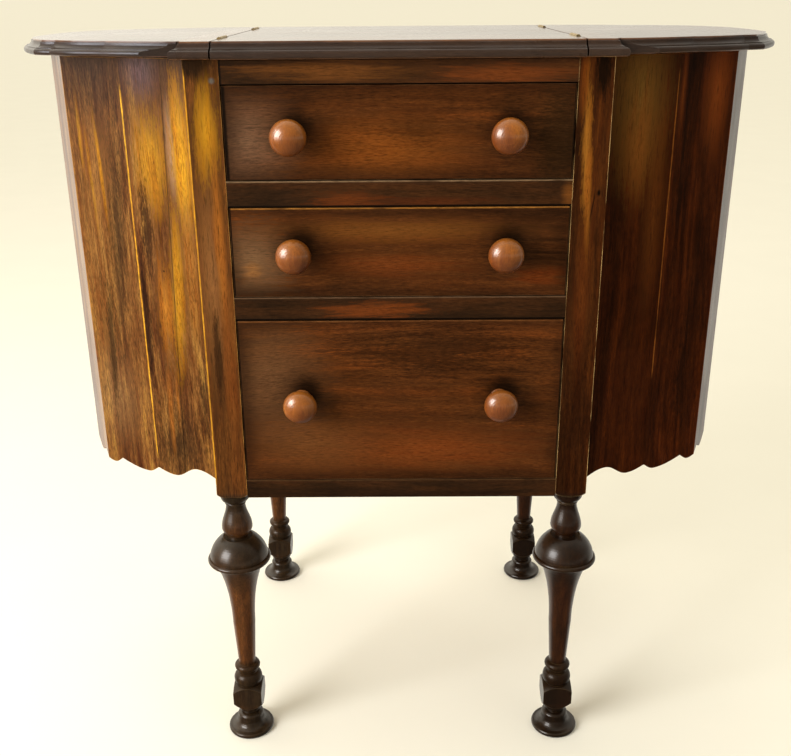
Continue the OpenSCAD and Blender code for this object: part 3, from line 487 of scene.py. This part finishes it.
MARKS = {
    "post_front_left": all_of(
        leg_tone,
        # Faded upper part, red lower down
        patch(0.0298, 0.5300, 0.017, 0.140, HAZEL, 0.75, soft=0.8),
        patch(0.0338, 0.6630, 0.014, 0.060, OLD_GOLD, 1.0, rag=0.6, soft=0.75),
        patch(0.0388, 0.5600, 0.006, 0.110, ORANGE, 0.7),
        patch(0.0398, 0.4400, 0.008, 0.090, RED, 0.7),
        patch(0.0298, 0.4500, 0.005, 0.060, DARK, 0.7),
        # Shade under the lid, the worn edge beside the bin and a dent
        patch(0.0258, 0.7200, 0.022, 0.024, DARK, 0.95, rag=0.3),
        seam(0.0179, 0.3200, 0.0179, 0.7050, 0.0013, BRIGHT_GOLD, 0.9, 0.5),
        patch(0.0418, 0.7040, 0.0036, 0.0036, PEWTER, 1.0, rag=0.1)),
    "post_front_right": all_of(
        leg_tone,
        # Bright streaks above, darkening to the foot of the post
        patch(0.0273, 0.6450, 0.0048, 0.085, BLAZE, 0.8, slope=-0.02, rag=0.8, soft=0.75),
        patch(0.0318, 0.5950, 0.0040, 0.080, FLAME, 0.75, slope=-0.03, rag=0.8, soft=0.75),
        patch(0.0228, 0.7000, 0.005, 0.040, ORANGE, 0.6),
        patch(0.0308, 0.5000, 0.010, 0.110, RED, 0.7),
        patch(0.0338, 0.3700, 0.026, 0.120, OXBLOOD, 0.82, rag=0.5, soft=0.85),
        # Shade under the lid, a small knot and the check beside it
        patch(0.0388, 0.7120, 0.010, 0.030, BLACK, 0.9, rag=0.3),
        patch(0.0413, 0.6050, 0.0050, 0.0090, BROWN, 0.8, rag=0.3),
        patch(0.0413, 0.6050, 0.0022, 0.0040, BLACK, 1.0, rag=0.2),
        seam(0.0353, 0.5850, 0.0373, 0.6000, 0.0012, BLACK, 0.8)),
    "post_rear_left": leg_tone,
    "post_rear_right": leg_tone,
    "bin_left_front": all_of(
        # Outer stave: brown with fine golden streaks and one broad dark one
        patch(0.0210, 0.2313, 0.026, 0.160, TAWNY, 0.6, slope=0.10),
        patch(0.0160, 0.0813, 0.040, 0.070, BISCUIT, 0.7, soft=0.8),
        patch(0.0295, 0.3163, 0.0024, 0.062, GOLD, 0.9, slope=-0.04, rag=1.0),
        patch(0.0110, 0.3463, 0.0024, 0.045, GOLD, 0.7, rag=1.0),
        patch(0.0190, 0.2913, 0.0020, 0.060, GOLD, 0.6, slope=-0.03, rag=1.1),
        patch(0.0410, 0.2513, 0.0125, 0.160, PEAT, 0.85, slope=0.08, rag=0.5, soft=0.8),
        patch(0.0210, 0.1413, 0.005, 0.090, OLIVE, 0.7, slope=0.05),
        # Painted shade under the lid, and a painted bluish reflection of the sky on the inner stave
        patch(0.0260, 0.4133, 0.046, 0.062, UNDER_LID_SHADE, 0.95, rag=0.35, soft=0.8),
        shaded_top(0.075, UNDER_LID_SHADE, 0.75),
        patch(0.0790, 0.4073, 0.022, 0.044, PLUM, 0.8, rag=0.4, soft=0.7),
        # Inner staves: golden at half height and above, lighter wood with painted light from the left over
        # it, and a painted lilac reflection
        patch(0.0830, 0.3233, 0.021, 0.062, GOLD, 0.95, rag=0.75),
        patch(0.1030, 0.3313, 0.0060, 0.062, LILAC, 0.7, rag=0.5),
        patch(0.1125, 0.3233, 0.0120, 0.085, PALE_GOLD, 0.95, rag=0.65),
        patch(0.0980, 0.2013, 0.0090, 0.110, GOLD, 0.95, slope=0.055, rag=0.7),
        patch(0.1130, 0.2113, 0.0090, 0.100, CARAMEL, 0.8),
        # Brown streaks between, and the darker foot
        patch(0.0720, 0.2563, 0.0075, 0.060, UMBER, 0.9, rag=0.6),
        patch(0.0840, 0.1813, 0.0110, 0.060, AMBER, 0.8, rag=0.9),
        patch(0.0630, 0.1613, 0.0050, 0.080, DARK, 0.7),
        patch(0.1160, 0.0913, 0.0080, 0.070, PEAT, 0.75, rag=0.5, soft=0.8),
        patch(0.0860, 0.0363, 0.0360, 0.060, PEAT, 0.9, rag=0.5, soft=0.85),
        patch(0.0790, 0.0713, 0.0035, 0.060, ORANGE, 0.8),
        patch(0.0875, 0.0863, 0.0020, 0.040, ORANGE, 0.8),
        # A chip, the joint of two staves and the worn ridge between facets
        patch(0.0855, 0.2186, 0.0012, 0.0014, BLACK, 0.9, rag=0.1),
        seam(0.0888, 0.0073, 0.0998, 0.4123, 0.0011, DARK, 0.6),
        seam(0.0590, 0.0263, 0.0590, 0.3813, 0.0013, SUN_GOLD, 0.95, 0.4)),
    "bin_right_front": all_of(
        # Inner staves: a greenish glow above
        patch(0.0285, 0.3813, 0.040, 0.110, MOSS, 0.88, rag=0.4, soft=0.85),
        patch(0.0315, 0.3313, 0.020, 0.070, COPPER, 0.6, soft=0.85),
        patch(0.0515, 0.2813, 0.014, 0.130, SIENNA, 0.55, soft=0.85),
        # Outer stave: red above, a dark streak beside the ridge
        patch(0.0710, 0.3813, 0.0034, 0.060, BRICK, 0.6, rag=0.8, soft=0.75),
        patch(0.0775, 0.3413, 0.0055, 0.130, BLACK, 0.5, rag=0.5, soft=0.8),
        patch(0.1065, 0.3813, 0.018, 0.080, RUSSET, 0.8, rag=0.5, soft=0.85),
        # Both darken to the foot
        patch(0.0415, 0.0913, 0.030, 0.080, MAROON, 0.6),
        patch(0.0135, 0.0913, 0.008, 0.120, BLACK, 0.3, soft=0.85),
        patch(0.0985, 0.1013, 0.034, 0.120, CLARET, 0.8, rag=0.6, soft=0.85),
        patch(0.0985, 0.1113, 0.008, 0.110, BLACK, 0.45, soft=0.8),
        seam(0.0655, 0.1113, 0.0655, 0.3913, 0.0011, COPPER, 0.85, 0.6)),
    "drawer_1_front": all_of(
        # Painted sheen of the light from the left on the left end
        patch(0.0195, 0.0338, 0.060, 0.060, LEFT_SHEEN_GREY, 0.85, rag=0.25, soft=0.85),
        patch(0.1395, 0.0268, 0.095, 0.036, COPPER, 0.8, rag=0.35, soft=0.85),
        patch(0.1695, 0.0418, 0.036, 0.018, DARK, 0.4, soft=0.85),
        edge_darkening(0.022, 0.75),
        # Painted shadows round the knobs
        knob_shadows("drawer_1"),
        patch(0.2945, 0.0368, 0.030, 0.060, SMOKE, 0.75, rag=0.3),
        # Painted shade in the joints at the edges, and on the faces behind the front
        joint_shade(left=0.0034, right=0.0012, low=0.0006),
        recess),
    "drawer_2_front": all_of(
        # Painted sheen of the light from the left on the left end
        patch(0.0195, 0.0353, 0.050, 0.045, LEFT_SHEEN_PALE, 0.8, rag=0.5, soft=0.8),
        patch(0.0185, 0.0253, 0.012, 0.010, HONEY, 0.6, rag=1.0),
        patch(0.1545, 0.0623, 0.150, 0.014, SADDLE, 0.65, rag=0.7, soft=0.8),
        patch(0.1495, 0.0303, 0.080, 0.014, RUST, 0.6, rag=0.7, soft=0.8),
        patch(0.2845, 0.0183, 0.030, 0.010, RUSSET, 0.6, rag=0.8),
        edge_darkening(0.012, 0.5),
        # Painted shadows round the knobs
        knob_shadows("drawer_2"),
        top_arris_wear_and_shade(STRAW, 0.8),
        # Painted shade in the joints at the edges, and on the faces behind the front
        joint_shade(left=0.0016, right=0.0008),
        recess),
    "drawer_3_front": all_of(
        patch(0.1845, 0.0331, 0.130, 0.030, RUST, 0.85, rag=0.5, soft=0.85),
        patch(0.0645, 0.0411, 0.080, 0.040, TAN, 0.7, rag=0.5, soft=0.85),
        # Painted sheen of the light from the left on the upper left
        patch(0.0295, 0.1111, 0.070, 0.080, FAWN, 0.75, rag=0.4, soft=0.85),
        patch(0.1845, 0.1361, 0.110, 0.030, DUSK, 0.8, rag=0.6),
        edge_darkening(0.016, 0.6),
        # Painted shadows round the knobs
        knob_shadows("drawer_3"),
        top_arris_wear_and_shade(TAN, 0.7),
        # Painted shade in the joints at the edges, and on the faces behind the front
        joint_shade(left=0.0012, right=0.0010),
        recess),
    "rail_top": all_of(
        patch(0.0955, 0.0112, 0.100, 0.010, CHESTNUT, 0.7, rag=0.7),
        patch(0.2455, 0.0072, 0.070, 0.010, EMBER, 0.7, rag=0.7),
        # Painted shadow of the top's overhang along the upper edge
        top_arris_wear_and_shade(BLACK),
        # Painted shade in the joints at the left end and below
        joint_shade(left=0.0022, low=0.0005)),
    "rail_upper": all_of(
        patch(0.1075, 0.0061, 0.040, 0.012, BRICK, 0.85, rag=0.9),
        patch(0.1855, 0.0041, 0.080, 0.006, GARNET, 0.7),
        patch(0.3085, 0.0091, 0.009, 0.014, COPPER, 0.85, rag=0.5, soft=0.75),
        top_arris_wear_and_shade(DRIFT),
        # Painted shade in the joint below
        joint_shade(low=0.0014)),
    "rail_lower": all_of(
        patch(0.1305, 0.0095, 0.060, 0.010, RUSSET, 0.85, rag=0.9),
        top_arris_wear_and_shade(FAWN),
        # Painted shade in the joint below
        joint_shade(low=0.0016)),
    "rail_bottom": top_arris_wear_and_shade(NUT, 0.6),
}


# Finish that changes over a piece

def on_flat(t, g):
    """Clear coat on the flat of the top, thin on its moulded edge."""
    return t.step(g.z, TOP_FACE - 0.0016, TOP_FACE - 0.0006, 0.12, 0.75)


def on_leg(t, g):
    """Clear coat on the turned legs, thinner on their square blocks, none on the posts above them."""
    block = t.span(g.z, BLOCK_LOW, BLOCK_HIGH, 0.004)
    return t.times(t.step(g.z, LEG_TOP - 0.002, LEG_TOP + 0.006, 0.60, 0.0), t.less(1.0, t.times(block, 0.6)))


def off_leg(t, g):
    """Worn arrises show on the square posts, hardly on the turned legs."""
    return t.step(g.z, LEG_TOP - 0.002, LEG_TOP + 0.006, 0.08, 1.0)


# Materials of the pieces

def post_wood(n):
    """The left posts are faded, the right ones dark; both have dark turned legs."""
    right = "right" in n
    return wood(n, "Z", POST_WOOD, ribbon=0.35, shade=0.45, rough=0.40, coat_where=on_leg, coat_rough=0.24,
                gloss=0.10, wear=0.95, wear_width=0.0009, wear_where=off_leg, streaky=0.22,
                wear_tone=(0.62, 0.40, 0.16) if right else (0.40, 0.19, 0.04),
                cast=(0.57, 0.41, 0.25) if right else (1.12, 1.04, 0.75), tint=MARKS.get(n))


def rail_wood(n):
    """Dark, with a few reddish streaks."""
    return wood(n, "X", RAIL_WOOD, ribbon=0.35, shade=0.6, wear=0.0, gloss=0.08, cast=(0.77, 0.73, 0.72),
                tint=MARKS.get(n))


def drawer_front_wood(n):
    """Fine plain figure under a dull finish."""
    return wood(n, "X", FRONT_WOOD, ribbon=0.30, ribbon_scale=90.0, gloss=0.07, wear=0.55,
                wear_tone=(0.150, 0.070, 0.026), pores=0.3, grit=0.6, streaky=0.14,
                cast=(0.88, 0.70, 0.52), tint=MARKS.get(n))


def bin_side_wood(n):
    """The staves that face sideways catch the light of the surround on their polish."""
    right = "right" in n
    return wood(n, "Z", RIGHT_BIN_WOOD if right else LEFT_BIN_WOOD, ribbon=0.5, ribbon_scale=48.0, wear=0.9,
                wear_tone=ORANGE, coat=0.20 if right else 0.36, coat_rough=0.12, gloss=0.2)


def left_bin_wood(n):
    """Faded and worn through to a golden tone, brightened by painted light from the left."""
    return wood(n, "Z", LEFT_BIN_WOOD, ribbon=0.5, ribbon_scale=48.0, gloss=0.08, wear=0.95, wear_tone=GOLD,
                wear_width=0.0010, grit=0.75, streaky=0.36, cast=(0.94, 0.89, 0.70), tint=MARKS.get(n))


def right_bin_wood(n):
    """Dark red, hardly faded."""
    return wood(n, "Z", RIGHT_BIN_WOOD, ribbon=0.32, ribbon_scale=70.0, shade=0.35, level=-0.08, wear=0.8,
                wear_tone=(0.200, 0.055, 0.010), wear_width=0.0009, gloss=0.05, streaky=0.22,
                cast=(1.02, 0.92, 0.70), tint=MARKS.get(n))


def top_wood(n):
    """Polished flats that mirror the surround, with a dark moulded edge."""
    axis = "Y" if n.endswith("_strip") else "X"
    return wood(n, axis, TOP_WOOD, ribbon=0.35, rough=0.30, coat_where=on_flat, coat_rough=0.09, gloss=0.22,
                sheen_tone=(0.80, 0.86, 1.0), wear=0.5, wear_tone=(0.105, 0.085, 0.075), grit=0.3,
                tint=moulding_dark)


def knob_wood(n):
    """Reddish, and smooth from handling."""
    return wood(n, "Z", KNOB_WOOD, ribbon=0.25, shade=0.9, level=-0.06, rough=0.34, coat=1.0, coat_rough=0.21,
                gloss=0.45, wear=0.0, grit=0.25, pores=0.2, tint=knob_wear_and_shade)


def inner_wood(n, axis):
    """Plain unpolished wood of the insides."""
    return wood(n, axis, INNER_WOOD, ribbon=0.3, rough=0.55, coat=0.0, wear=0.0, pores=0.3)


def brass(n):
    """Tarnished brass, dull in the pits."""
    t = Material("brass_" + n)
    spots = t.noise(t.node("ShaderNodeTexCoord").outputs["Object"], scale=350.0, detail=3.0, rough=0.6)
    t.shader(Base_Color=t.ramp(spots, [(0.3, (0.12, 0.080, 0.032)), (0.65, (0.42, 0.30, 0.13))]),
             Metallic=0.9, Roughness=t.step(spots, 0.3, 0.7, 0.62, 0.42))
    t.bump(spots, 0.1, 0.0002)
    return t.mat


def material_for(n):
    """The material of a node, by the kind of piece that its name tells."""
    if n.startswith("hinge"):
        return brass(n)
    if n.startswith("post"):
        return post_wood(n)
    if n.startswith("rail"):
        return rail_wood(n)
    if n.startswith("bin") and n.endswith("floor"):
        return inner_wood(n, "Y")
    if n in ("bin_left_front_side", "bin_right_front_side", "bin_left_end", "bin_right_end"):
        return bin_side_wood(n)
    if n.startswith("bin_left"):
        return left_bin_wood(n)
    if n.startswith("bin_right"):
        return right_bin_wood(n)
    if n in ("side_left", "side_right", "back_panel"):
        return wood(n, "Z", FRONT_WOOD)
    if n.endswith("_board") or n.endswith("_strip"):
        return top_wood(n)
    if "knob" in n:
        return knob_wood(n)
    if n.startswith("drawer") and n.endswith("_front"):
        return drawer_front_wood(n)
    return inner_wood(n, "X" if n.endswith("bottom") else "Y")


for n, o in nodes.items():
    o.data.materials.clear()
    o.data.materials.append(material_for(n))


# Floor and light

FLOOR_SIZE = 260.0
FLOOR_TONE = (0.81, 0.775, 0.665)


def floor_material():
    """Plain, pale and dull, a little uneven."""
    t = Material("floor_pale")
    cloud = t.noise(t.node("ShaderNodeTexCoord").outputs["Object"], scale=6.0, detail=3.0)
    t.shader(Base_Color=t.ramp(cloud, [(0.3, tuple(c * 0.985 for c in FLOOR_TONE)), (0.7, FLOOR_TONE)]),
             Roughness=0.9, Specular_IOR_Level=0.1)
    return t.mat


bpy.ops.mesh.primitive_plane_add(size=FLOOR_SIZE, location=(0, 0, 0))
floor = bpy.context.object
floor.name = "floor"
floor.data.materials.append(floor_material())
floor.visible_glossy = False


def area(name, place, aim, size, power, colour, glossy=True):
    """Square lamp at a place, turned to what it lights."""
    d = bpy.data.lights.new(name, "AREA")
    d.shape, d.size, d.energy, d.color = "SQUARE", size, power, colour
    o = bpy.data.objects.new(name, d)
    bpy.context.scene.collection.objects.link(o)
    o.location = place
    o.rotation_euler = (Vector(aim) - Vector(place)).to_track_quat("-Z", "Y").to_euler()
    o.visible_glossy = glossy


def studio_world():
    """Soft surround: bright behind, above and from the left, dim in front of the object and under it."""
    world = bpy.data.worlds.new("world")
    world.use_nodes = True
    t = Tree(world.node_tree)
    way = t.node("ShaderNodeTexCoord").outputs["Generated"]
    across, back, up = t.node("ShaderNodeSeparateXYZ", {0: way}).outputs
    walls = t.times(t.step(back, -0.6, 0.5, 0.20, 1.0), t.step(across, -0.6, 0.6, 1.35, 0.55))
    horizon = t.step(up, 0.02, 0.09, 1.0, 0.0)
    ground = t.math("MAXIMUM", t.step(up, -0.10, -0.04, 0.08, 0.92), t.step(back, 0.0, 0.3, 0.08, 0.92))
    sky = t.step(up, 0.05, 0.60, 1.0, 2.2)
    background = world.node_tree.nodes["Background"]
    t.put(background.inputs["Color"], (1.0, 0.95, 0.82, 1.0))
    t.put(background.inputs["Strength"], t.times(t.math("MAXIMUM", walls, horizon), ground, sky))
    bpy.context.scene.world = world


studio_world()
area("key", (-2.2, -1.7, 1.15), (0, 0, 0.45), size=1.8, power=44, colour=(1.0, 0.98, 0.95))
area("pane", (-2.0, -1.55, 1.35), (0, 0, 0.5), size=1.25, power=62, colour=(0.97, 0.98, 1.0))
area("fill", (2.0, -1.8, 1.6), (0, 0, 0.4), size=1.6, power=8, colour=(1.0, 0.95, 0.85), glossy=False)
